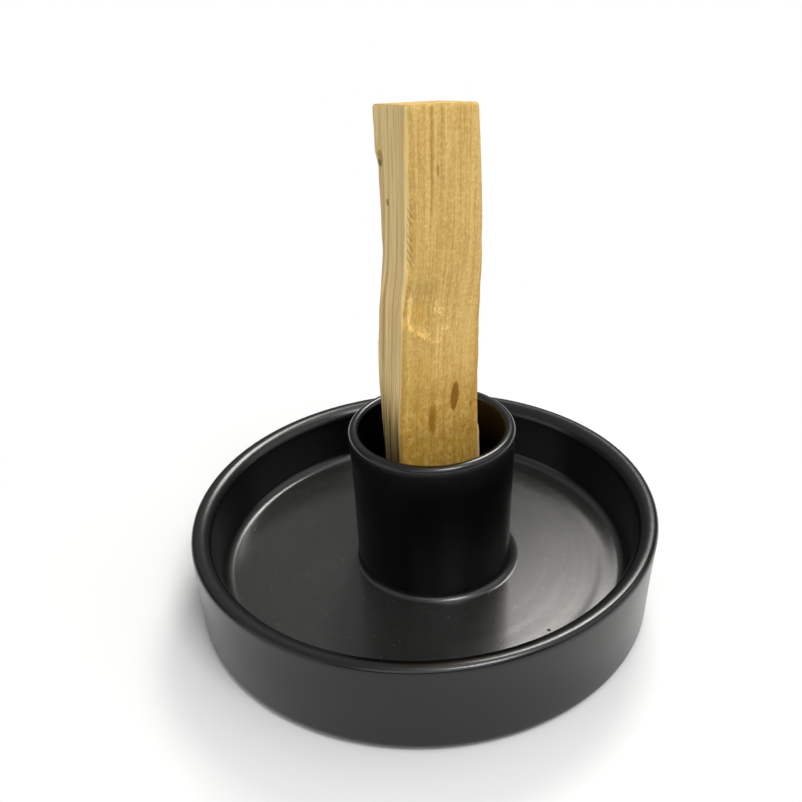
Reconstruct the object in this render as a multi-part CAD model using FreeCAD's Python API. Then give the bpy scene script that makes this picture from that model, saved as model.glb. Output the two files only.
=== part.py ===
import FreeCAD, Part
import math
import os

# Incense burner: a shallow round dish, an open cup luted to its floor, and one stick of wood standing in the cup.
# Millimetres, +Z up. The origin is the centre of the foot ring, on the table. -Y is the front.

# Dish
dish_radius = 50.0
dish_base_radius = 49.1
dish_height = 21.5
dish_wall_at_rim = 4.8
dish_wall_at_floor = 6.4
rim_outer_round = 1.1
rim_inner_round = 3.2
base_edge_round = 2.3
floor_top = 8.4
floor_cove = 2.4
foot_ring_inner_radius = 38.0
foot_recess_depth = 4.0
foot_recess_slope = 2.5

# Cup, set a little to the right of the dish's axis
cup_offset_x = 2.8
cup_lip_radius = 17.4
cup_base_radius = 16.4
cup_wall = 2.2
cup_height = 33.2
cup_lip_round = 0.9
cup_foot_cove = 2.0
cup_foot_toe = 0.3

# Stick, standing upright on the floor inside the cup, turned so that its left side shows from the front
stick_turn_deg = 22.0
stick_length = 98.7
stick_top_slope_deg = 11.0

# One row per height of the stick: height above the floor, width of the broad front face,
# depth of the side face, and how far left of the cup's axis the front arris stands
stick_foot = (0.0, 17.8, 9.3, 6.6)
stick_at_lip = (28.4, 17.8, 9.5, 6.5)
stick_swelling = (46.4, 16.7, 12.6, 5.8)
stick_middle = (61.4, 16.0, 12.3, 4.9)
stick_waist = (77.4, 14.6, 14.2, 3.1)
stick_head = (97.4, 13.7, 16.7, 2.9)
stick_spare_length = 8.0

up = FreeCAD.Vector(0, 0, 1)


def at(radius, height):
    return FreeCAD.Vector(radius, 0, height)


def rounded_corner(before, corner, after, rounding):
    # Where the straight runs leave the corner and meet again, and the arc that joins them
    to_before = (before - corner).normalize()
    to_after = (after - corner).normalize()
    half_angle = to_before.getAngle(to_after) / 2
    setback = rounding / math.tan(half_angle)
    inward = (to_before + to_after).normalize()
    start = corner + to_before * setback
    middle = corner + inward * (rounding / math.sin(half_angle) - rounding)
    end = corner + to_after * setback
    return start, end, Part.Arc(start, middle, end).toShape()


def turned(corners):
    # The solid turned about the vertical axis from a closed outline of corners (radius, height, rounding)
    points = [at(radius, height) for radius, height, rounding in corners]
    edges = []
    first = last = None
    for i, (radius, height, rounding) in enumerate(corners):
        start = end = points[i]
        arc = None
        if rounding > 0:
            start, end, arc = rounded_corner(points[i - 1], points[i], points[i + 1 - len(points)], rounding)
        if last:
            edges.append(Part.LineSegment(last, start).toShape())
        else:
            first = start
        if arc:
            edges.append(arc)
        last = end
    edges.append(Part.LineSegment(last, first).toShape())
    return Part.Face(Part.Wire(edges)).revolve(FreeCAD.Vector(0, 0, 0), up, 360)


def make_dish():
    # The wall stands nearly upright outside and thickens a little towards the floor inside
    return turned([
        (0, foot_recess_depth, 0),
        (foot_ring_inner_radius - foot_recess_slope, foot_recess_depth, 0),
        (foot_ring_inner_radius, 0, 0),
        (dish_base_radius, 0, base_edge_round),
        (dish_radius, dish_height, rim_outer_round),
        (dish_radius - dish_wall_at_rim, dish_height, rim_inner_round),
        (dish_radius - dish_wall_at_floor, floor_top, floor_cove),
        (0, floor_top, 0),
    ])


def make_stick_cup():
    # A tube with a softened lip; the dish's floor closes its lower end
    lip_top = floor_top + cup_height
    toe_top = floor_top + cup_foot_toe
    toe_radius = cup_base_radius + cup_foot_cove + cup_foot_toe
    cup = turned([
        (cup_base_radius - cup_wall, floor_top, 0),
        (toe_radius, floor_top, 0),
        (toe_radius, toe_top, 0),
        (cup_base_radius, toe_top, cup_foot_cove),
        (cup_lip_radius, lip_top, cup_lip_round),
        (cup_lip_radius - cup_wall, lip_top, cup_lip_round),
    ])
    cup.translate(FreeCAD.Vector(cup_offset_x, 0, 0))
    return cup


def stick_section(height, front_width, side_depth, arris_left):
    # Four corners: front arris, front right, back right, back left
    turn = math.radians(stick_turn_deg)
    along_front = FreeCAD.Vector(math.cos(turn), math.sin(turn), 0)
    along_side = FreeCAD.Vector(-math.sin(turn), math.cos(turn), 0)
    across = along_front.y * front_width + along_side.y * side_depth
    arris = FreeCAD.Vector(cup_offset_x - arris_left, -across / 2, floor_top + height)
    front_right = arris + along_front * front_width
    back_right = front_right + along_side * side_depth
    back_left = arris + along_side * side_depth
    return Part.makePolygon([arris, front_right, back_right, back_left, arris])


def make_palo_santo_stick():
    top_height, top_width, top_depth, top_arris = stick_head
    rows = (stick_foot, stick_at_lip, stick_swelling, stick_middle, stick_waist, stick_head)
    sections = [stick_section(*row) for row in rows]
    sections.append(stick_section(top_height + stick_spare_length, top_width, top_depth, top_arris))
    stick = Part.makeLoft(sections, True, True)

    # The upper end is sawn on a slope, lower at the back
    saw_reach = 4 * top_width
    waste = Part.makeBox(saw_reach, saw_reach, saw_reach, FreeCAD.Vector(-saw_reach / 2, -saw_reach / 2, 0))
    waste.rotate(FreeCAD.Vector(0, 0, 0), FreeCAD.Vector(1, 0, 0), -stick_top_slope_deg)
    waste.translate(FreeCAD.Vector(cup_offset_x, 0, floor_top + stick_length))
    return stick.cut(waste)


pieces = {
    "dish": make_dish(),
    "stick_cup": make_stick_cup(),
    "palo_santo_stick": make_palo_santo_stick(),
}
os.makedirs("parts", exist_ok=True)
for name, shape in pieces.items():
    solid = shape if shape.ShapeType == "Solid" else shape.Solids[0]
    solid.exportStep(f"parts/{name}.step")
    print(name, "valid", solid.isValid(), "volume", round(solid.Volume), "box", solid.BoundBox)
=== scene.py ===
import math

import bmesh
import bpy
import numpy as np
from mathutils import Matrix, Vector, noise


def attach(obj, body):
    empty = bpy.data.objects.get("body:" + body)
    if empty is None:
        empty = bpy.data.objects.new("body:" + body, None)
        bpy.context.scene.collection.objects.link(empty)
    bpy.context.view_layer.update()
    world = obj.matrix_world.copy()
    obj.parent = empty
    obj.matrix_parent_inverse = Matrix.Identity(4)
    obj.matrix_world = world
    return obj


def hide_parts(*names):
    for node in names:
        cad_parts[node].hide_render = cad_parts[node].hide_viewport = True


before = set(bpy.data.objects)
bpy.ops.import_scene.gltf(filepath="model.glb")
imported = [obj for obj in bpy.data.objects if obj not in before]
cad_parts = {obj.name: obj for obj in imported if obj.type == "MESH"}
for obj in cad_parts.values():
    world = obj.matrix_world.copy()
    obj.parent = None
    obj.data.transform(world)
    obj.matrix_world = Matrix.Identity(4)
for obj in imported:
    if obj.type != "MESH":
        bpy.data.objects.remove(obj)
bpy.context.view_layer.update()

MM = 0.001

# The fired pieces, in millimetres. A few sizes follow the photograph more closely than the solids do
DISH_RADIUS = 50.0
DISH_BASE_RADIUS = 49.1
DISH_BASE_ROUND = 2.3
DISH_HEIGHT = 21.5
DISH_WALL_AT_RIM = 4.0
DISH_WALL_AT_FLOOR = 6.0
RIM_SLOPE = 0.05
RIM_OUTER_ROUND = 1.15
RIM_INNER_ROUND = 3.0
FLOOR_TOP = 8.4
FLOOR_COVE = 2.4
FOOT_RING_INNER = 38.0
FOOT_RING_ROUND = 0.6
FOOT_RECESS = 4.0
FOOT_RECESS_SLOPE = 2.5
FOOT_RECESS_ROUND = 1.5
CUP_X = 2.8
CUP_LIP_RADIUS = 17.4
CUP_BASE_RADIUS = 16.4
CUP_WALL = 2.2
CUP_HEIGHT = 33.2
CUP_LIP_ROUND = 1.05
CUP_FOOT_COVE = 1.5
CUP_SKIRT_WIDTH = 0.8
CUP_SKIRT_DEPTH = 0.012
CUP_SUNK = 0.3

# How the thrown pots depart from true, in millimetres and degrees
RIM_TILT_DEG = 0.95
RIM_DIP_DEG = 0.2
RIM_SHIFT = 0.42
FLOOR_SHIFT = 0.6
FLOOR_SHIFT_FROM = 30
FLOOR_SHIFT_FULL = 40
RIDGES_FROM = 24
RIDGES_FULL = 30
RIDGES_TO = 41.6
RIDGE_HEIGHT = 0.004
RIDGE_RADIANS_PER_MM = 1.5
LEDGE_FROM = 38.0
LEDGE_RISE = 1.1
LEDGE_FALL = 2.0
LEDGE_HEIGHT = 0.08
JOINT_HEIGHT = 3.4
JOINT_SHIFT = 0.8
CUP_BULGE = 0.45
CUP_BULGE_HEIGHT = 20.0

# The stick. Heights along it are counted from a mark just above the dish's floor
STICK_MARK = 8.8
STICK_TURN_DEG = 22.0
STICK_TOP_SLOPE_DEG = 11.2
STICK_HEIGHTS = (-0.4, 27, 39, 46, 53, 61, 69, 77, 85, 91, 98.3)
STICK_FRONT_WIDTHS = (17.9, 17.9, 17.3, 16.8, 16.6, 16.1, 15.35, 14.9, 14.5, 14.15, 13.6)
STICK_SIDE_DEPTHS = (9.3, 9.4, 11.1, 12.7, 12.5, 12.1, 12.7, 13.6, 14.6, 16.0, 17.0)
STICK_ARRIS_LEFT = (6.55, 6.55, 6.3, 5.8, 5.45, 4.95, 3.9, 3.45, 3.2, 3.1, 2.9)
STICK_FOOT = STICK_HEIGHTS[0]
STICK_HEAD = STICK_HEIGHTS[-1]
# The grain is counted from the heart of the stick, this far right of the arris and this far behind it
HEART_ALONG = 7.5
HEART_BACK = 6.5
# Saw tears down the arris: height of the middle of each, their pitch and their slant
UPPER_TEARS = 80.4
LOWER_TEARS = 74.0
TEAR_PITCH = 1.55
TEAR_SLANT = 1.1
# Fine checks down the front: place along it, lower and upper end, depth
FRONT_CHECKS = (
    (8.4, 60, 84, 0.10), (10.4, 40, 76, 0.08), (11.6, 66, 100, 0.08),
    (3.1, 4, 52, 0.09), (6.0, 22, 66, 0.08), (13.4, 8, 40, 0.07))
# Small tears right of the scar: place, height, half width, half height, depth
FRONT_TEARS = (
    (7.0, 62.2, 0.6, 1.4, 0.24), (7.9, 60.6, 0.5, 0.9, -0.16), (7.4, 57.0, 0.6, 1.6, 0.20),
    (8.4, 57.8, 0.4, 0.8, -0.16), (6.6, 54.8, 0.8, 0.6, -0.14))
# Hollows down the split left face: place behind the arris, lower and upper end, depth
SPLIT_HOLLOWS = ((3.0, 10, 92, 0.18), (5.2, 30, 99, 0.12), (7.6, 0, 70, 0.20), (9.4, 50, 99, 0.12))

# Coloured marks on the wood: place from the heart, height, half width, half height, screen colour, amount
FRONT_MARKS = (
    (4.2, 41.6, 0.95, 3.9, (124, 78, 4), 0.90),
    (7.9, 38.9, 0.45, 0.9, (140, 92, 20), 0.60),
    (-0.6, 44.0, 0.55, 3.2, (158, 112, 20), 0.35),
    (-1.7, 88.2, 0.28, 1.1, (140, 96, 40), 0.65))
SIDE_MARKS = (
    (7.1, 87.2, 0.9, 0.9, (98, 82, 54), 0.85),
    (6.0, 88.6, 1.1, 1.5, (140, 106, 60), 0.70),
    (3.5, 80.5, 0.6, 0.8, (126, 92, 48), 0.80),
    (5.6, 78.0, 1.3, 15.0, (168, 132, 76), 0.35),
    (3.1, 64.0, 0.6, 22.0, (168, 136, 80), 0.45),
    (-1.4, 62.0, 0.6, 24.0, (168, 138, 84), 0.45),
    (0.6, 90.0, 0.5, 5.0, (176, 146, 92), 0.40),
    (3.4, 55.0, 1.3, 9.0, (172, 134, 78), 0.45))
TORN_FIBRES = (
    (-4.4, 61.2, 2.3, 2.6, (198, 148, 56), 0.50),
    (-6.2, 63.9, 0.7, 1.6, (240, 214, 150), 0.50),
    (-5.9, 60.6, 0.35, 3.4, (238, 206, 134), 0.50),
    (-0.9, 62.0, 0.5, 1.9, (240, 206, 128), 0.50),
    (0.3, 60.8, 1.0, 1.0, (240, 206, 128), 0.50),
    (1.0, 57.0, 1.3, 1.4, (242, 208, 132), 0.50),
    (-0.2, 55.0, 1.6, 0.7, (236, 202, 126), 0.40))

# The one pinhole in the glaze of the dish's floor, in millimetres
PINHOLE_X = 24.8
PINHOLE_Y = -26.5

# Studio, in metres: name, place, what it points at, width, height, power, colour
WHITE = (1, 1, 1)
SOFT_LIGHTS = (
    ("key_box", (0.23, 0.62, 0.82), (0, 0, 0.03), 0.32, 0.32, 5.8, (1.0, 0.98, 0.92)),
    ("ceiling_box", (0.20, -0.05, 0.94), (0.05, -0.05, 0.03), 0.7, 0.6, 2.0, WHITE),
    ("front_box", (0.26, -0.45, 0.86), (0, 0, 0.05), 0.36, 0.26, 5.6, WHITE),
    ("front_wall", (0, -1.30, 0.90), (0, 0, 0.05), 1.6, 1.0, 6.4, WHITE),
    ("right_wall", (1.2, -0.20, 0.70), (0, 0, 0.05), 1.4, 1.0, 3.5, WHITE),
    ("left_box", (-0.90, -0.42, 0.30), (0, 0, 0.05), 0.8, 0.45, 1.0, WHITE))
AIR_LOW = 0.16
AIR_HIGH = 0.50
CAMERA_PLACE = (0, -0.17832, 0.14784)
CAMERA_YAW_DEG = -1.059
CAMERA_PITCH_DEG = 29.417
CAMERA_ROLL_DEG = -2.507
FILM_WIDTH = 36
# Focal length as a share of the film's width
FOCAL_SHARE = 1000 / 802


def srgb(red, green, blue):
    """Screen colour, 0 to 255, as linear light."""
    def linear(v):
        v = v / 255
        return v / 12.92 if v <= 0.04045 else ((v + 0.055) / 1.055) ** 2.4
    return (linear(red), linear(green), linear(blue), 1.0)


class Value:
    """A shader socket that takes part in arithmetic."""

    def __init__(self, finish, socket):
        self.finish = finish
        self.socket = socket

    def _math(self, operation, *terms):
        return self.finish.add("ShaderNodeMath", {"operation": operation}, dict(enumerate(terms)))

    def __add__(self, other):
        return self._math("ADD", self, other)

    def __radd__(self, other):
        return self._math("ADD", other, self)

    def __sub__(self, other):
        return self._math("SUBTRACT", self, other)

    def __rsub__(self, other):
        return self._math("SUBTRACT", other, self)

    def __mul__(self, other):
        return self._math("MULTIPLY", self, other)

    def __rmul__(self, other):
        return self._math("MULTIPLY", other, self)

    def __truediv__(self, other):
        return self._math("DIVIDE", self, other)

    def power(self, exponent):
        return self._math("POWER", self, exponent)

    def size(self):
        return self._math("ABSOLUTE", self)

    def sine(self):
        return self._math("SINE", self)

    def most(self, other):
        return self._math("MAXIMUM", self, other)

    def ramp(self, low, high):
        """0 below low, 1 above high, smooth between; falls when low is above high."""
        ends = {1: low, 2: high, 3: 0.0, 4: 1.0} if low <= high else {1: high, 2: low, 3: 1.0, 4: 0.0}
        return self.finish.add("ShaderNodeMapRange", {"interpolation_type": "SMOOTHSTEP"}, {0: self, **ends})


class Finish:
    """A material, or a world, being put together from nodes."""

    def __init__(self, owner):
        self.owner = owner
        owner.use_nodes = True
        self.tree = owner.node_tree
        self.tree.nodes.clear()

    def add(self, kind, settings=None, sockets=None, output=0):
        node = self.tree.nodes.new(kind)
        for name, setting in (settings or {}).items():
            setattr(node, name, setting)
        for name, given in (sockets or {}).items():
            if isinstance(given, Value):
                self.tree.links.new(given.socket, node.inputs[name])
            else:
                node.inputs[name].default_value = given
        return Value(self, node.outputs[output])

    def mix(self, amount, first, second):
        """A colour between first and second."""
        return self.add("ShaderNodeMix", {"data_type": "RGBA", "blend_type": "MIX", "clamp_factor": True},
                        {0: amount, 6: first, 7: second}, 2)

    def parts(self, vector):
        """The three parts of a vector."""
        split = self.add("ShaderNodeSeparateXYZ", None, {0: vector})
        outputs = split.socket.node.outputs
        return [Value(self, outputs[i]) for i in range(3)]

    def scaled(self, vector, scale, shift=(0, 0, 0)):
        return self.add("ShaderNodeMapping", {"vector_type": "POINT"},
                        {"Vector": vector, "Scale": scale, "Location": shift})

    def cloud(self, vector, scale, detail=3.0, roughness=0.5, distortion=0.0):
        return self.add("ShaderNodeTexNoise", {"noise_dimensions": "3D"},
                        {"Vector": vector, "Scale": scale, "Detail": detail, "Roughness": roughness,
                         "Distortion": distortion})

    def surface(self, shader):
        out = self.tree.nodes.new("ShaderNodeOutputMaterial")
        self.tree.links.new(shader.socket, out.inputs["Surface"])


# Modelling helpers

def deselect_everything():
    if bpy.context.object and bpy.context.object.mode != "OBJECT":
        bpy.ops.object.mode_set(mode="OBJECT")
    bpy.ops.object.select_all(action="DESELECT")


def rounded_outline(corners, pitch):
    """Points (radius, height) along the runs between corners (radius, height, round), the rounds as arcs."""
    points = []
    for i, (radius, height, rounding) in enumerate(corners):
        here = Vector((radius, height))
        if rounding == 0:
            points.append(here)
            continue
        before = (Vector(corners[i - 1][:2]) - here).normalized()
        after = (Vector(corners[i + 1][:2]) - here).normalized()
        half_angle = before.angle(after) / 2
        setback = rounding / math.tan(half_angle)
        centre = here + (before + after).normalized() * (rounding / math.sin(half_angle))
        start = here + before * setback - centre
        end = here + after * setback - centre
        sweep = start.angle(end)
        steps = max(5, round(sweep * rounding / 0.25))
        for k in range(steps + 1):
            t = k / steps
            part = (math.sin((1 - t) * sweep) * start + math.sin(t * sweep) * end) / math.sin(sweep)
            points.append(centre + part)
    outline = [points[0]]
    for point in points[1:]:
        gap = (point - outline[-1]).length
        runs = max(1, math.ceil(gap / pitch))
        start = outline[-1].copy()
        for k in range(1, runs + 1):
            outline.append(start.lerp(point, k / runs))
    return outline


def throw_on_wheel(name, outline, axis_x, steps):
    """A pot turned about an upright axis from an outline of (radius, height) points in millimetres."""
    deselect_everything()
    bpy.ops.mesh.primitive_plane_add(size=MM)
    pot = bpy.context.object
    pot.name = name
    pot.data.name = name
    bpy.ops.object.mode_set(mode="EDIT")
    bpy.ops.mesh.select_all(action="SELECT")
    bpy.ops.mesh.merge(type="CENTER")
    bpy.ops.transform.translate(value=(outline[0].x * MM, 0, outline[0].y * MM))
    for here, there in zip(outline, outline[1:]):
        step = (there - here) * MM
        bpy.ops.mesh.extrude_vertices_move(TRANSFORM_OT_translate={"value": (step.x, 0, step.y)})
    bpy.ops.mesh.select_all(action="SELECT")
    bpy.ops.mesh.spin(steps=steps, angle=math.tau, center=(0, 0, 0), axis=(0, 0, 1))
    bpy.ops.mesh.select_all(action="SELECT")
    bpy.ops.mesh.remove_doubles(threshold=0.002 * MM)
    bpy.ops.mesh.normals_make_consistent(inside=False)
    bpy.ops.transform.translate(value=(axis_x * MM, 0, 0))
    bpy.ops.object.mode_set(mode="OBJECT")
    bpy.ops.object.shade_smooth()
    return pot


def hand_wobble(pot, texture_name, breadth, strength, lowest):
    """Slow unevenness of a hand-thrown wall, from a height upwards, in millimetres."""
    by_hand = pot.vertex_groups.new(name="by_hand")
    for vertex in pot.data.vertices:
        by_hand.add([vertex.index], min(1.0, max(0.0, (vertex.co.z / MM - lowest) / 5)), "REPLACE")
    texture = bpy.data.textures.new(texture_name, "CLOUDS")
    texture.noise_scale = breadth * MM
    texture.noise_depth = 1
    wobble = pot.modifiers.new("wobble", "DISPLACE")
    wobble.texture = texture
    wobble.texture_coords = "LOCAL"
    wobble.strength = strength * MM
    wobble.mid_level = 0.5
    wobble.vertex_group = by_hand.name
    bpy.context.view_layer.objects.active = pot
    bpy.ops.object.modifier_apply(modifier=wobble.name)


def lean_rim(pot):
    """Leans the wall over a little, so that the rim stands higher on the right and at the back."""
    foot_of_wall = FLOOR_TOP * MM
    tilt, dip = math.radians(RIM_TILT_DEG), math.radians(RIM_DIP_DEG)
    for vertex in pot.data.vertices:
        x, y, z = vertex.co
        rise = (z - foot_of_wall) / (DISH_HEIGHT * MM - foot_of_wall)
        if rise > 0 and math.hypot(x, y) > 40 * MM:
            share = rise ** 1.5
            vertex.co.z += share * (tilt * x + dip * y)
            vertex.co.x += share * RIM_SHIFT * MM


def shift_floor(pot):
    """Sets the floor's edge over to the right, which leaves the wall thinner there."""
    inside = DISH_RADIUS - 0.6 * DISH_WALL_AT_RIM
    for vertex in pot.data.vertices:
        x, y, z = vertex.co / MM
        out = math.hypot(x, y)
        rise = (z - FLOOR_TOP) / (DISH_HEIGHT - FLOOR_TOP)
        if -0.01 < rise < 1 and FLOOR_SHIFT_FROM < out < inside:
            share = (1 - rise) * min(1.0, (out - FLOOR_SHIFT_FROM) / (FLOOR_SHIFT_FULL - FLOOR_SHIFT_FROM))
            vertex.co.x += FLOOR_SHIFT * MM * share


def press_throwing_rings(pot):
    """Presses in the soft ridges that fingers leave on a thrown floor, with one ledge on the right."""
    for vertex in pot.data.vertices:
        x, y, z = vertex.co / MM
        out = math.hypot(x, y)
        if abs(z - FLOOR_TOP) < 0.01 and RIDGES_FROM < out < RIDGES_TO:
            strength = min(1.0, (out - RIDGES_FROM) / (RIDGES_FULL - RIDGES_FROM))
            ridge = strength * math.sin(out * RIDGE_RADIANS_PER_MM)
            ledge = min(1.0, max(0.0, (out - LEDGE_FROM) / LEDGE_RISE), (RIDGES_TO - out) / LEDGE_FALL)
            on_right = min(1.0, max(0.0, 2 * x / out))
            vertex.co.z += (RIDGE_HEIGHT * ridge + LEDGE_HEIGHT * ledge * on_right) * MM


def make_dish():
    rim_inside = DISH_RADIUS - DISH_WALL_AT_RIM
    floor_edge = DISH_RADIUS - DISH_WALL_AT_FLOOR
    corners = [
        (0, FOOT_RECESS, 0),
        (FOOT_RING_INNER - FOOT_RECESS_SLOPE, FOOT_RECESS, FOOT_RECESS_ROUND),
        (FOOT_RING_INNER, 0, FOOT_RING_ROUND),
        (DISH_BASE_RADIUS, 0, DISH_BASE_ROUND),
        (DISH_RADIUS, DISH_HEIGHT, RIM_OUTER_ROUND),
        (rim_inside, DISH_HEIGHT - RIM_SLOPE, RIM_INNER_ROUND),
        (floor_edge, FLOOR_TOP, FLOOR_COVE),
        (0, FLOOR_TOP, 0),
    ]
    dish = throw_on_wheel("dish_glazed", rounded_outline(corners, pitch=0.6), axis_x=0, steps=240)
    press_throwing_rings(dish)
    shift_floor(dish)
    lean_rim(dish)
    hand_wobble(dish, "dish_wobble", breadth=34, strength=0.16, lowest=FLOOR_TOP + 2)
    return dish


def slump_joint(cup):
    """Swells the cup's foot a little to the left, and sets its cove of slip over to the right."""
    outside = CUP_BASE_RADIUS - 0.7
    for vertex in cup.data.vertices:
        x, y, z = vertex.co / MM
        out = math.hypot(x - CUP_X, y)
        if out > outside:
            swell = min(1, max(0, 1 - (z - FLOOR_TOP) / CUP_BULGE_HEIGHT)) * max(0, (CUP_X - x) / out)
            low = min(1, max(0, 1 - (z - FLOOR_TOP) / JOINT_HEIGHT))
            vertex.co.x += (low ** 2 * JOINT_SHIFT - swell * CUP_BULGE) * MM


def make_stick_cup():
    buried = FLOOR_TOP - CUP_SUNK
    skirt = FLOOR_TOP - CUP_SKIRT_DEPTH
    skirt_radius = CUP_BASE_RADIUS + CUP_FOOT_COVE + CUP_SKIRT_WIDTH
    corners = [
        (CUP_BASE_RADIUS - CUP_WALL, buried, 0),
        (CUP_LIP_RADIUS - CUP_WALL, FLOOR_TOP + CUP_HEIGHT, CUP_LIP_ROUND),
        (CUP_LIP_RADIUS, FLOOR_TOP + CUP_HEIGHT, CUP_LIP_ROUND),
        (CUP_BASE_RADIUS, skirt, CUP_FOOT_COVE),
        (skirt_radius, skirt, 0),
        (skirt_radius, buried, 0),
        (CUP_BASE_RADIUS - CUP_WALL, buried, 0),
    ]
    cup = throw_on_wheel("stick_cup_glazed", rounded_outline(corners, pitch=1.2), axis_x=CUP_X, steps=160)
    slump_joint(cup)
    hand_wobble(cup, "cup_wobble", breadth=22, strength=0.22, lowest=FLOOR_TOP + 6)
    return cup


# The stick

def select_edges_along(block, axis):
    bpy.ops.mesh.select_mode(type="EDGE")
    bpy.ops.mesh.select_all(action="DESELECT")
    mesh = bmesh.from_edit_mesh(block.data)
    for edge in mesh.edges:
        run = edge.verts[1].co - edge.verts[0].co
        edge.select = abs(run[axis]) > 0.9 * run.length
    bmesh.update_edit_mesh(block.data)


def sawn_block(name):
    """A block two units each way, cut into a fine grid along its faces."""
    deselect_everything()
    bpy.ops.mesh.primitive_cube_add(size=2)
    block = bpy.context.object
    block.name = name
    block.data.name = name
    bpy.ops.object.mode_set(mode="EDIT")
    for axis, cuts in ((2, 24), (2, 9), (0, 41), (1, 35)):
        select_edges_along(block, axis)
        bpy.ops.mesh.subdivide(number_cuts=cuts)
    bpy.ops.object.mode_set(mode="OBJECT")
    return block


def smooth_through(heights, values, at):
    """A smooth curve through the given values, read at the heights asked for."""
    heights = np.array(heights, float)
    values = np.array(values, float)
    slopes = np.gradient(values, heights)
    k = np.clip(np.searchsorted(heights, at) - 1, 0, len(heights) - 2)
    span = heights[k + 1] - heights[k]
    t = np.clip((at - heights[k]) / span, 0, 1)
    start = (1 + 2 * t) * (1 - t) ** 2 * values[k] + t * (1 - t) ** 2 * span * slopes[k]
    end = t * t * (3 - 2 * t) * values[k + 1] + t * t * (t - 1) * span * slopes[k + 1]
    return start + end


def step(low, high, at):
    """0 below low, 1 above high, smooth between."""
    t = np.clip((at - low) / (high - low), 0, 1)
    return t * t * (3 - 2 * t)


def hump(at, middle, width):
    """1 at the middle, falling away to both sides."""
    return np.exp(-((at - middle) / width) ** 2)


def rough(x, y, z, seed):
    """Smooth noise, about -1 to 1, at points given in grid units."""
    return np.array([noise.noise((a + seed, b - seed, c)) for a, b, c in zip(x, y, z)])


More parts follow.
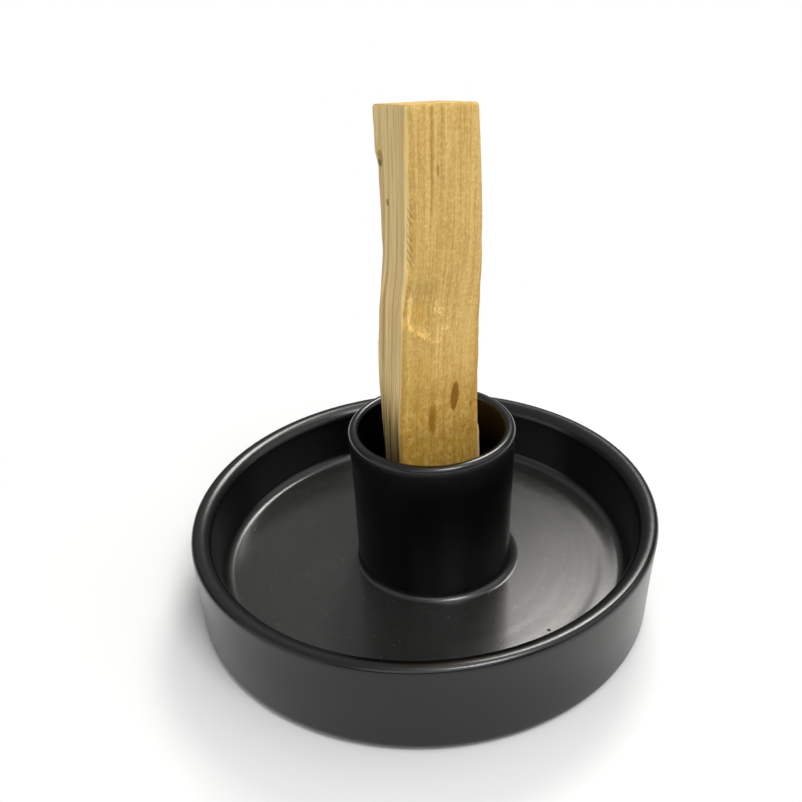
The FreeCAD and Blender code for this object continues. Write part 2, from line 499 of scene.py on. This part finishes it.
def make_stick():
    stick = sawn_block("palo_santo_stick_sawn")
    count = len(stick.data.vertices)
    grid = np.empty(count * 3)
    stick.data.vertices.foreach_get("co", grid)
    grid = grid.reshape(-1, 3)
    across, deep, tall = grid.T
    height = STICK_FOOT + (tall + 1) / 2 * (STICK_HEAD - STICK_FOOT)
    on_front = deep < -0.999
    on_back = deep > 0.999
    on_left = across < -0.999
    on_right = across > 0.999
    on_top = tall > 0.999

    width = smooth_through(STICK_HEIGHTS, STICK_FRONT_WIDTHS, height)
    depth = smooth_through(STICK_HEIGHTS, STICK_SIDE_DEPTHS, height)
    arris = smooth_through(STICK_HEIGHTS, STICK_ARRIS_LEFT, height)
    # Along the front face from the arris, along the side face from the arris, and up, in millimetres
    along = (across + 1) / 2 * width
    back = (deep + 1) / 2 * depth
    grain = np.stack([along - HEART_ALONG, back - HEART_BACK, height], axis=1)

    # How far the surface is cut in from the sawn planes
    cut_front = np.zeros(count)
    cut_left = np.zeros(count)
    cut_right = np.zeros(count)
    cut_back = np.zeros(count)

    fuzz = rough(along * 2.3, back * 2.3, height * 0.9, 3.1)
    fibre = rough(along * 1.6, back * 1.6, height * 0.06, 9.7)
    pores = rough(along * 3.6, back * 3.6, height * 0.22, 17.3)
    cut_front += 0.045 * fuzz + 0.06 * fibre + 0.05 * np.maximum(pores, 0)
    cut_left += 0.06 * fibre + 0.04 * np.maximum(pores, 0) + 0.015 * fuzz
    cut_right += 0.05 * fuzz + 0.08 * fibre
    cut_back += 0.05 * fuzz + 0.10 * fibre + 0.05 * np.maximum(pores, 0)

    # The long check down the front from the head, and a short one beside it
    check_at = 4.75 + 0.15 * rough(height * 0.05, height * 0, height * 0, 41.0)
    check_run = step(78, 83, height)
    cut_front += 0.26 * hump(along, check_at, 0.27) * check_run
    cut_front += 0.12 * hump(along, 4.6, 0.35) * step(84, 90, height)
    cut_front += 0.20 * hump(along, 5.8, 0.25) * hump(height, 88.2, 1.0)
    for place, low, high, amount in FRONT_CHECKS:
        wander = place + 0.3 * rough(height * 0.04, height * 0, height * 0 + place, 5.0)
        run = step(low, low + 5, height) * (1 - step(high - 5, high, height))
        cut_front += amount * hump(along, wander, 0.25) * run

    # Torn-out scar beside the arris, ending below in a ragged step
    ragged = 0.6 * rough(along * 1.3, height * 0, height * 0, 77.0)
    step_line = 60.4 - 0.70 * along + ragged
    tear = step(step_line - 0.25, step_line + 0.25, height) * (1 - step(63.5, 69.0, height))
    tear *= 1 - step(4.8, 6.0, along)
    cut_front += 0.60 * tear
    lift = hump(height, step_line - 0.9, 1.1) * (1 - step(5.2, 6.6, along))
    cut_front -= 0.16 * lift
    # Smaller tears further right
    for place, level, half_width, half_height, amount in FRONT_TEARS:
        cut_front += amount * hump(along, place, half_width) * hump(height, level, half_height)

    # Split hollows on the left face
    for place, low, high, amount in SPLIT_HOLLOWS:
        wander = place + 0.5 * rough(height * 0.03, height * 0 + place, height * 0, 23.0)
        run = step(low, low + 8, height) * (1 - step(high - 8, high, height))
        cut_left += amount * hump(back, wander, 0.5) * run
    # Knot that stands out at the back of the left face, and a pit below it
    cut_left -= 0.45 * hump(back, 13.6, 1.3) * hump(height, 89.6, 1.5)
    cut_left += 0.40 * hump(back, 13.5, 0.8) * hump(height, 87.1, 0.9)
    cut_left += 0.25 * hump(back, 10.0, 0.5) * hump(height, 80.5, 0.8)

    # Shoulder on the right face where the wood was split away
    shoulder = step(32.4, 35.2, height) * (1 - step(44, 62, height))
    cut_right += 1.2 * shoulder

    # Sawn head with a rough end
    end_rough = 0.12 * rough(along * 1.7, back * 1.7, along * 0, 55.0)

    x = along + np.where(on_left, cut_left, 0) - np.where(on_right, cut_right, 0)
    y = back + np.where(on_front, cut_front, 0) - np.where(on_back, cut_back, 0)

    # The arris is cut away as a chamfer, wide above the scar, with slanting saw tears
    tooth = 0.5 + 0.5 * np.sin(2 * math.pi * (height + TEAR_SLANT * (along - back)) / TEAR_PITCH)
    torn = np.maximum(hump(height, UPPER_TEARS, 1.9), hump(height, LOWER_TEARS, 3.4))
    chamfer = 0.45 + 0.85 * step(57, 64, height) * (1 - 0.45 * step(92, 98, height))
    chamfer = chamfer * (1 + 0.25 * rough(height * 0.3, height * 0, height * 0, 13.0))
    chamfer = chamfer + 0.2 * torn * tooth
    gap = np.maximum(0, chamfer - (along + back)) / 2
    near_arris = on_front | on_left
    arris_band = np.where(near_arris, step(0.0, 0.30, gap) * (1 - 0.8 * torn * tooth), 0)
    x = x + np.where(near_arris, gap, 0)
    y = y + np.where(near_arris, gap, 0)
    # The other three long edges are only worn
    for from_side, from_face, toward_x, toward_y in (
            (width - along, back, -1, 1), (width - along, depth - back, -1, -1), (along, depth - back, 1, -1)):
        worn = 0.4 + 0.2 * rough(height * 0.25, height * 0 + toward_x, height * 0 + toward_y, 31.0)
        gap = np.maximum(0, worn - (from_side + from_face)) / 2
        outside = on_front | on_left | on_right | on_back
        x = x + np.where(outside, toward_x * gap, 0)
        y = y + np.where(outside, toward_y * gap, 0)

    # The head's edges are rubbed round
    rubbed_round_and_edge_highlight = 1 - np.sqrt(np.maximum(0, 1 - step(STICK_HEAD - 0.9, STICK_HEAD + 0.3, height) ** 2))
    x = x + 1.2 * rubbed_round_and_edge_highlight * (0.5 - along / width)
    y = y + 1.2 * rubbed_round_and_edge_highlight * (0.5 - back / depth)

    # Into the dish's frame: turned about Z, the arris set left of the cup's axis
    turn = math.radians(STICK_TURN_DEG)
    cos, sin = math.cos(turn), math.sin(turn)
    spread = (sin * width + cos * depth) / 2
    place_x = CUP_X - arris + cos * x - sin * y
    place_y = -spread + sin * x + cos * y
    slope = math.tan(math.radians(STICK_TOP_SLOPE_DEG)) * step(86, STICK_HEAD, height)
    place_z = STICK_MARK + height - slope * place_y + np.where(on_top, end_rough, 0)

    placed = np.stack([place_x, place_y, place_z], axis=1) * MM
    stick.data.vertices.foreach_set("co", placed.ravel())
    attribute = stick.data.attributes.new("grain", "FLOAT_VECTOR", "POINT")
    attribute.data.foreach_set("vector", grain.ravel())
    faces = stick.data.attributes.new("sides", "FLOAT_VECTOR", "POINT")
    # How much each point belongs to the left face, to the sawn end and to the arris
    left_face = np.where(on_left & ~on_front, 1.0, 0.0)
    weights = np.stack([left_face, np.where(on_top, 1.0, 0.0), arris_band], axis=1)
    faces.data.foreach_set("vector", weights.ravel())
    stick.data.update()
    deselect_everything()
    stick.select_set(True)
    bpy.context.view_layer.objects.active = stick
    bpy.ops.object.shade_smooth_by_angle(angle=math.radians(50))
    return stick


# Finishes

def black_glaze():
    finish = Finish(bpy.data.materials.new("black_satin_glaze"))
    place = finish.add("ShaderNodeTexCoord", output=3)
    x, y, z = finish.parts(place)
    mottle = finish.cloud(place, 60.0, 4.0, 0.6)
    fine = finish.cloud(place, 900.0, 3.0, 0.6)
    pin = finish.add("ShaderNodeTexVoronoi", {"feature": "F1"}, {"Vector": place, "Scale": 800.0})
    pin_colour = Value(finish, pin.socket.node.outputs["Color"])
    pick, _, _ = finish.parts(pin_colour)
    speck = pin.ramp(0.14, 0.06) * pick.ramp(0.70, 0.82)
    blackest, black = (0.0003, 0.0003, 0.0003, 1), (0.0009, 0.0009, 0.0009, 1)
    colour = finish.mix(mottle.ramp(0.35, 0.75), blackest, black)
    # A film of ash lies on the dish's floor
    out = (x * x + y * y).power(0.5)
    ash = z.ramp((FLOOR_TOP + 1.6) * MM, (FLOOR_TOP + 0.3) * MM) * out.ramp(45 * MM, 42 * MM)
    ash = ash * (0.45 + 0.8 * fine * mottle)
    colour = finish.mix(ash, colour, (0.020, 0.020, 0.019, 1))
    colour = finish.mix(speck * (0.08 + 0.50 * ash), colour, (0.16, 0.16, 0.15, 1))
    # One pinhole in the glaze, at the front right of the floor
    beside, behind = x - PINHOLE_X * MM, y - PINHOLE_Y * MM
    from_pinhole = (beside * beside + behind * behind).power(0.5)
    pinhole = from_pinhole.ramp(0.45 * MM, 0.18 * MM) * z.ramp(7 * MM, 8 * MM)
    # Painted reflection of the stick's lit right face: brown on the cup's inner wall, right of the stick
    from_cup = ((x - CUP_X * MM) * (x - CUP_X * MM) + y * y).power(0.5)
    bore = CUP_LIP_RADIUS - CUP_WALL
    painted_stick_reflection = from_cup.ramp((bore + 0.4) * MM, bore * MM)
    painted_stick_reflection = painted_stick_reflection * z.ramp((FLOOR_TOP + 21) * MM, (FLOOR_TOP + CUP_HEIGHT) * MM) * x.ramp(6 * MM, 15 * MM)
    colour = finish.mix(painted_stick_reflection * (0.3 + 0.9 * mottle), colour, (0.036, 0.025, 0.005, 1))
    # The foot ring's face is bare clay
    bare = z.ramp(0.35 * MM, 0.15 * MM)
    colour = finish.mix(bare, colour, srgb(120, 104, 88))
    rough_glaze = 0.17 + 0.06 * mottle + 0.09 * fine + 0.35 * bare + 0.7 * pinhole
    height = 0.25 * fine + 2.2 * mottle
    bump = finish.add("ShaderNodeBump", None, {"Strength": 0.08, "Distance": 0.00025, "Height": height})
    shader = finish.add("ShaderNodeBsdfPrincipled", None, {
        "Base Color": colour, "Roughness": rough_glaze, "Normal": bump, "IOR": 1.5})
    finish.surface(shader)
    return finish.owner


def palo_santo_wood():
    finish = Finish(bpy.data.materials.new("palo_santo_wood"))
    grain = finish.add("ShaderNodeAttribute", {"attribute_name": "grain"}, output=1)
    sides = finish.add("ShaderNodeAttribute", {"attribute_name": "sides"}, output=1)
    left, top, arris = finish.parts(sides)
    along, back, height = finish.parts(grain)
    front = (back + HEART_BACK).ramp(1.4, 0.7) * (1 - left)

    band = finish.cloud(finish.scaled(grain, (0.35, 0.35, 0.010)), 1.0, 2.0, 0.5)
    streak = finish.cloud(finish.scaled(grain, (1.0, 1.0, 0.016)), 1.0, 3.0, 0.55, 0.2)
    line = finish.cloud(finish.scaled(grain, (2.2, 2.2, 0.05), (7, 9, 0)), 1.0, 2.0, 0.6)
    pore = finish.cloud(finish.scaled(grain, (4.0, 4.0, 0.6)), 1.0, 2.0, 0.6)
    fuzz = finish.cloud(finish.scaled(grain, (2.2, 2.2, 1.5)), 1.0, 3.0, 0.7)
    weft = finish.cloud(finish.scaled(grain, (0.45, 0.45, 1.7), (0, 0, 11)), 1.0, 2.0, 0.5)

    # Sawn front and right faces
    face = finish.mix(streak.ramp(0.32, 0.68), srgb(174, 141, 72), srgb(197, 166, 101))
    face = finish.mix(band.ramp(0.35, 0.65) * 0.35, face, srgb(210, 178, 114))
    face = finish.mix(line.ramp(0.46, 0.62) * 0.55, face, srgb(164, 128, 58))
    face = finish.mix(pore.ramp(0.54, 0.72) * 0.35, face, srgb(228, 196, 130))
    face = finish.mix(fuzz.ramp(0.53, 0.68) * 0.38, face, srgb(226, 196, 128))
    face = finish.mix(fuzz.ramp(0.46, 0.32) * 0.52, face, srgb(160, 120, 52))
    face = finish.mix(weft.ramp(0.48, 0.34) * 0.10, face, srgb(160, 122, 56))
    face = finish.mix(weft.ramp(0.52, 0.66) * 0.10, face, srgb(224, 194, 126))
    # Split left face, greyer and more streaked; its colours are also painted lighter to stand in for the weak
    # light from the left
    seam = finish.cloud(finish.scaled(grain, (0.9, 0.9, 0.016), (3, 5, 0)), 1.0, 3.0, 0.55, 0.2)
    split = finish.mix(seam.ramp(0.25, 0.75), srgb(208, 178, 117), srgb(240, 214, 156))
    split = finish.mix(band.ramp(0.38, 0.62) * 0.40, split, srgb(230, 205, 148))
    split = finish.mix(line.ramp(0.44, 0.64) * 0.55, split, srgb(184, 152, 92))
    split = finish.mix(fuzz.ramp(0.50, 0.70) * 0.20, split, srgb(232, 208, 158))
    colour = finish.mix(left, face, split)
    colour = finish.mix(arris * (0.15 + 0.40 * fuzz.ramp(0.40, 0.62)), colour, srgb(224, 187, 110))
    # Slanting saw tears down the arris
    bite = ((height + TEAR_SLANT * (along - back + HEART_ALONG - HEART_BACK)) * (math.tau / TEAR_PITCH)).sine()
    chewed = (height - UPPER_TEARS).size().ramp(2.3, 1.2).most((height - LOWER_TEARS).size().ramp(4.2, 2.4))
    near = (along + HEART_ALONG).ramp(0.85, 0.35) * (back + HEART_BACK).ramp(1.1, 0.6)
    colour = finish.mix(bite.ramp(-0.1, 0.8) * chewed * near * 0.55, colour, srgb(150, 104, 44))

    # Darker, resin-stained foot on the faces other than the left; the left face's foot is darkened by a
    # painted shadow of the cup
    foot = height.ramp(60.0, 31.0) * (0.35 + 0.65 * height.ramp(12.0, 27.0))
    clump = finish.cloud(finish.scaled(grain, (0.9, 0.9, 0.45), (2, 5, 0)), 1.0, 5.0, 0.70)
    stained = foot * (1 - left)
    colour = finish.mix(stained * 0.50, colour, srgb(190, 152, 66))
    colour = finish.mix(stained * clump.ramp(0.56, 0.42) * 0.52, colour, srgb(168, 122, 18))
    colour = finish.mix(stained * clump.ramp(0.54, 0.66) * 0.20, colour, srgb(226, 188, 98))
    colour = finish.mix(stained * fuzz.ramp(0.50, 0.34) * 0.52, colour, srgb(146, 100, 12))
    colour = finish.mix(stained * streak.ramp(0.50, 0.38) * 0.32, colour, srgb(146, 100, 12))
    soaked = height.ramp(39.0, 29.0) * (1 - left)
    colour = finish.mix(soaked * (0.04 + 0.12 * clump.ramp(0.60, 0.44)), colour, srgb(172, 126, 8))
    # Painted shadow of the cup's lip: the left face turns brown-olive towards its foot, stronger in streaks
    painted_cup_shadow = 0.42 + 0.53 * streak.ramp(0.56, 0.42)
    colour = finish.mix(height.ramp(46.0, 35.0) * left * painted_cup_shadow, colour, srgb(104, 80, 32))

    # Painted highlight: a pale line down the right edge of the front face, at the foot
    rubbed_round_and_edge_highlight = along.ramp(9.3, 10.0) * height.ramp(46.0, 41.0) * (back + HEART_BACK).ramp(0.8, 0.3)
    colour = finish.mix(rubbed_round_and_edge_highlight * 0.55, colour, srgb(236, 214, 170))

    def spot(across, middle, level, half_width, half_height, low=0.5, high=1.15):
        """An oval mark, solid out to low and gone at high, with an uneven edge."""
        wide = (across - middle) / half_width
        tall = (height - level) / half_height
        return (wide * wide + tall * tall + (pore - 0.5) * 0.6).ramp(high, low)

    for middle, level, half_width, half_height, tint, amount in FRONT_MARKS:
        mark = spot(along, middle, level, half_width, half_height) * front
        colour = finish.mix(mark * amount, colour, srgb(*tint))
    for middle, level, half_width, half_height, tint, amount in SIDE_MARKS:
        mark = spot(back, middle, level, half_width, half_height) * left
        colour = finish.mix(mark * amount, colour, srgb(*tint))
    # Damp streak at the foot, and the long check from the head
    damp = spot(along, -0.5, 37.3, 1.0, 4.4, 0.0, 1.3) * front
    colour = finish.mix(damp * 0.85, colour, srgb(136, 90, 6))
    check = (along + 2.85).size().ramp(0.38, 0.06) * height.ramp(78.5, 81.5) * front
    colour = finish.mix(check * 0.48, colour, srgb(146, 102, 34))
    # Fresh fibres torn up around the scar
    for middle, level, half_width, half_height, tint, amount in TORN_FIBRES:
        torn = spot(along, middle, level, half_width, half_height, 0.2, 1.2) * fuzz.ramp(0.42, 0.58) * front
        colour = finish.mix(torn * amount, colour, srgb(*tint))
    ledge = (height - 59.5 + 0.70 * (along + HEART_ALONG) + (fuzz - 0.5) * 1.8).size().ramp(0.8, 0.2)
    ledge = ledge * along.ramp(-1.0, -3.0) * along.ramp(-7.4, -6.4) * fuzz.ramp(0.36, 0.60) * front
    colour = finish.mix(ledge * 0.60, colour, srgb(240, 198, 112))
    # Sawn end, with growth rings and pores
    ring = finish.cloud(finish.scaled(grain, (0.25, 1.5, 0.0), (1, 0, 0)), 1.0, 3.0, 0.6, 0.4)
    end = finish.mix(ring.ramp(0.36, 0.64), srgb(172, 138, 78), srgb(208, 178, 116))
    end = finish.mix(pore.ramp(0.54, 0.68) * 0.45, end, srgb(148, 110, 56))
    colour = finish.mix(top, colour, end)
    bump = finish.add("ShaderNodeBump", None, {"Strength": 0.45, "Distance": 0.00012,
                                               "Height": line * 0.5 + pore * 0.6 + fuzz * 0.7})
    shader = finish.add("ShaderNodeBsdfPrincipled", None, {
        "Base Color": colour, "Roughness": 0.75, "Normal": bump, "IOR": 1.45, "Specular IOR Level": 0.25})
    finish.surface(shader)
    return finish.owner


# Studio

def pale_floor():
    deselect_everything()
    bpy.ops.mesh.primitive_plane_add(size=6, location=(0, 0, -0.02 * MM))
    floor = bpy.context.object
    floor.name = "studio_floor"
    finish = Finish(bpy.data.materials.new("pale_floor"))
    diffuse = finish.add("ShaderNodeBsdfDiffuse", None, {"Color": (0.64, 0.64, 0.64, 1)})
    white = finish.add("ShaderNodeEmission", None, {"Color": (1, 1, 1, 1), "Strength": 1.0})
    camera = finish.add("ShaderNodeLightPath", output="Is Camera Ray")
    x, y, _ = finish.parts(finish.add("ShaderNodeTexCoord", output=3))
    far = (x * x + y * y).power(0.5).ramp(0.05, 0.13)
    finish.surface(finish.add("ShaderNodeMixShader", None, {0: camera * far, 1: diffuse, 2: white}))
    floor.data.materials.append(finish.owner)


def soft_light(name, place, toward, width, height, power, colour):
    light = bpy.data.lights.new(name, "AREA")
    light.shape = "RECTANGLE"
    light.size = width
    light.size_y = height
    light.energy = power
    light.color = colour
    lamp = bpy.data.objects.new(name, light)
    bpy.context.scene.collection.objects.link(lamp)
    lamp.location = place
    lamp.rotation_euler = (Vector(toward) - Vector(place)).to_track_quat("-Z", "Y").to_euler()


def studio_air():
    world = bpy.data.worlds.new("studio_air")
    bpy.context.scene.world = world
    finish = Finish(world)
    camera = finish.add("ShaderNodeLightPath", output="Is Camera Ray")
    _, _, up = finish.parts(finish.add("ShaderNodeTexCoord", output=0))
    low = finish.add("ShaderNodeBackground", None, {"Color": (1, 1, 1, 1), "Strength": AIR_LOW})
    high = finish.add("ShaderNodeBackground", None, {"Color": (1, 1, 1, 1), "Strength": AIR_HIGH})
    lit = finish.add("ShaderNodeMixShader", None, {0: up.ramp(0.30, 0.62), 1: low, 2: high})
    seen = finish.add("ShaderNodeBackground", None, {"Color": (1, 1, 1, 1), "Strength": 1.0})
    both = finish.add("ShaderNodeMixShader", None, {0: camera, 1: lit, 2: seen})
    out = finish.tree.nodes.new("ShaderNodeOutputWorld")
    finish.tree.links.new(both.socket, out.inputs["Surface"])


def photo_camera():
    yaw, pitch, roll = (math.radians(turn) for turn in (CAMERA_YAW_DEG, CAMERA_PITCH_DEG, CAMERA_ROLL_DEG))
    forward = Vector((math.sin(yaw) * math.cos(pitch), math.cos(yaw) * math.cos(pitch), -math.sin(pitch)))
    level = Vector((math.cos(yaw), -math.sin(yaw), 0))
    over = level.cross(forward)
    right = math.cos(roll) * level + math.sin(roll) * over
    up = -math.sin(roll) * level + math.cos(roll) * over
    camera = bpy.data.cameras.new("camera")
    camera.lens = FILM_WIDTH * FOCAL_SHARE
    camera.sensor_width = FILM_WIDTH
    camera.clip_start = 0.01
    stand = bpy.data.objects.new("camera", camera)
    bpy.context.scene.collection.objects.link(stand)
    turn = Matrix((right, up, -forward)).transposed().to_4x4()
    stand.matrix_world = Matrix.Translation(CAMERA_PLACE) @ turn
    bpy.context.scene.camera = stand


dish = make_dish()
cup = make_stick_cup()
stick = make_stick()

glaze = black_glaze()
wood = palo_santo_wood()
for piece, material, node, slot, body in (
        (dish, glaze, "dish", "black_glaze", "burner"),
        (cup, glaze, "stick_cup", "black_glaze", "burner"),
        (stick, wood, "palo_santo_stick", "palo_santo_wood", "stick")):
    piece.data.materials.clear()
    piece.data.materials.append(material)
    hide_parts(node)
    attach(piece, body)

pale_floor()
studio_air()
for light in SOFT_LIGHTS:
    soft_light(*light)
photo_camera()

bpy.context.scene.view_settings.view_transform = "Standard"
